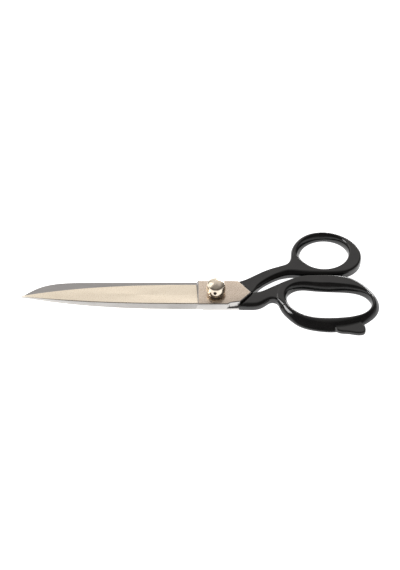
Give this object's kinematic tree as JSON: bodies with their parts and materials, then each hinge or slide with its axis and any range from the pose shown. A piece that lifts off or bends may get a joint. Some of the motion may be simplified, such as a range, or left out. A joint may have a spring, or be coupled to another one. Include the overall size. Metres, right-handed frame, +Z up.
{
  "type": "fabric shears",
  "caption": "Long tailor's shears: two crossed steel halves with an enamelled thumb ring and finger bow, turning on a bolt with a domed adjusting nut.",
  "frame": {"origin": "on the pivot axis, at the centre of the flat face of the pivot bolt's head, the lowest face of the shears as they lie", "axes": "+Z up along the pivot axis to the nut, +X towards the handles, -X to the tips of the closed blades, +Y to the side of the thumb ring"},
  "size_m": [0.3055, 0.1107, 0.0239],
  "materials": {
    "blade_nickel": "satin nickel plate over ground steel",
    "enamel": "gloss black enamel over forged steel",
    "nut_chrome": "polished nickel",
    "bolt_steel": "turned steel",
    "spring_steel": "tempered spring steel",
    "lock_steel": "blackened steel"
  },
  "bodies": {
    "finger_half": {"finger_blade": "blade_nickel", "finger_handle": "enamel", "pivot_bolt": "bolt_steel", "spring_washer": "spring_steel"},
    "thumb_half": {"thumb_blade": "blade_nickel", "thumb_handle": "enamel"},
    "thrust_washer": {"thrust_washer": "nut_chrome"},
    "ball_nut": {"ball_nut": "nut_chrome", "lock_screw": "lock_steel"}
  },
  "joints": [
    {"name": "blade_pivot", "type": "hinge", "parent": "finger_half", "child": "thumb_half", "pos_m": [0, 0, 0], "axis": [0, 0, 1], "range_deg": [0, 100]},
    {"name": "nut_lift", "type": "slide", "parent": "finger_half", "child": "thrust_washer", "axis": [0, 0, 1], "range_m": [0, 0.0005], "deforming": ["spring_washer"]},
    {"name": "nut_turn", "type": "hinge", "parent": "thrust_washer", "child": "ball_nut", "pos_m": [0, 0, 0.01265], "axis": [0, 0, 1], "range_deg": [0, 180]}
  ],
  "couplings": [
    {"joint": "nut_lift", "follows": "nut_turn", "m_per_rad": 0.00015915}
  ]
}
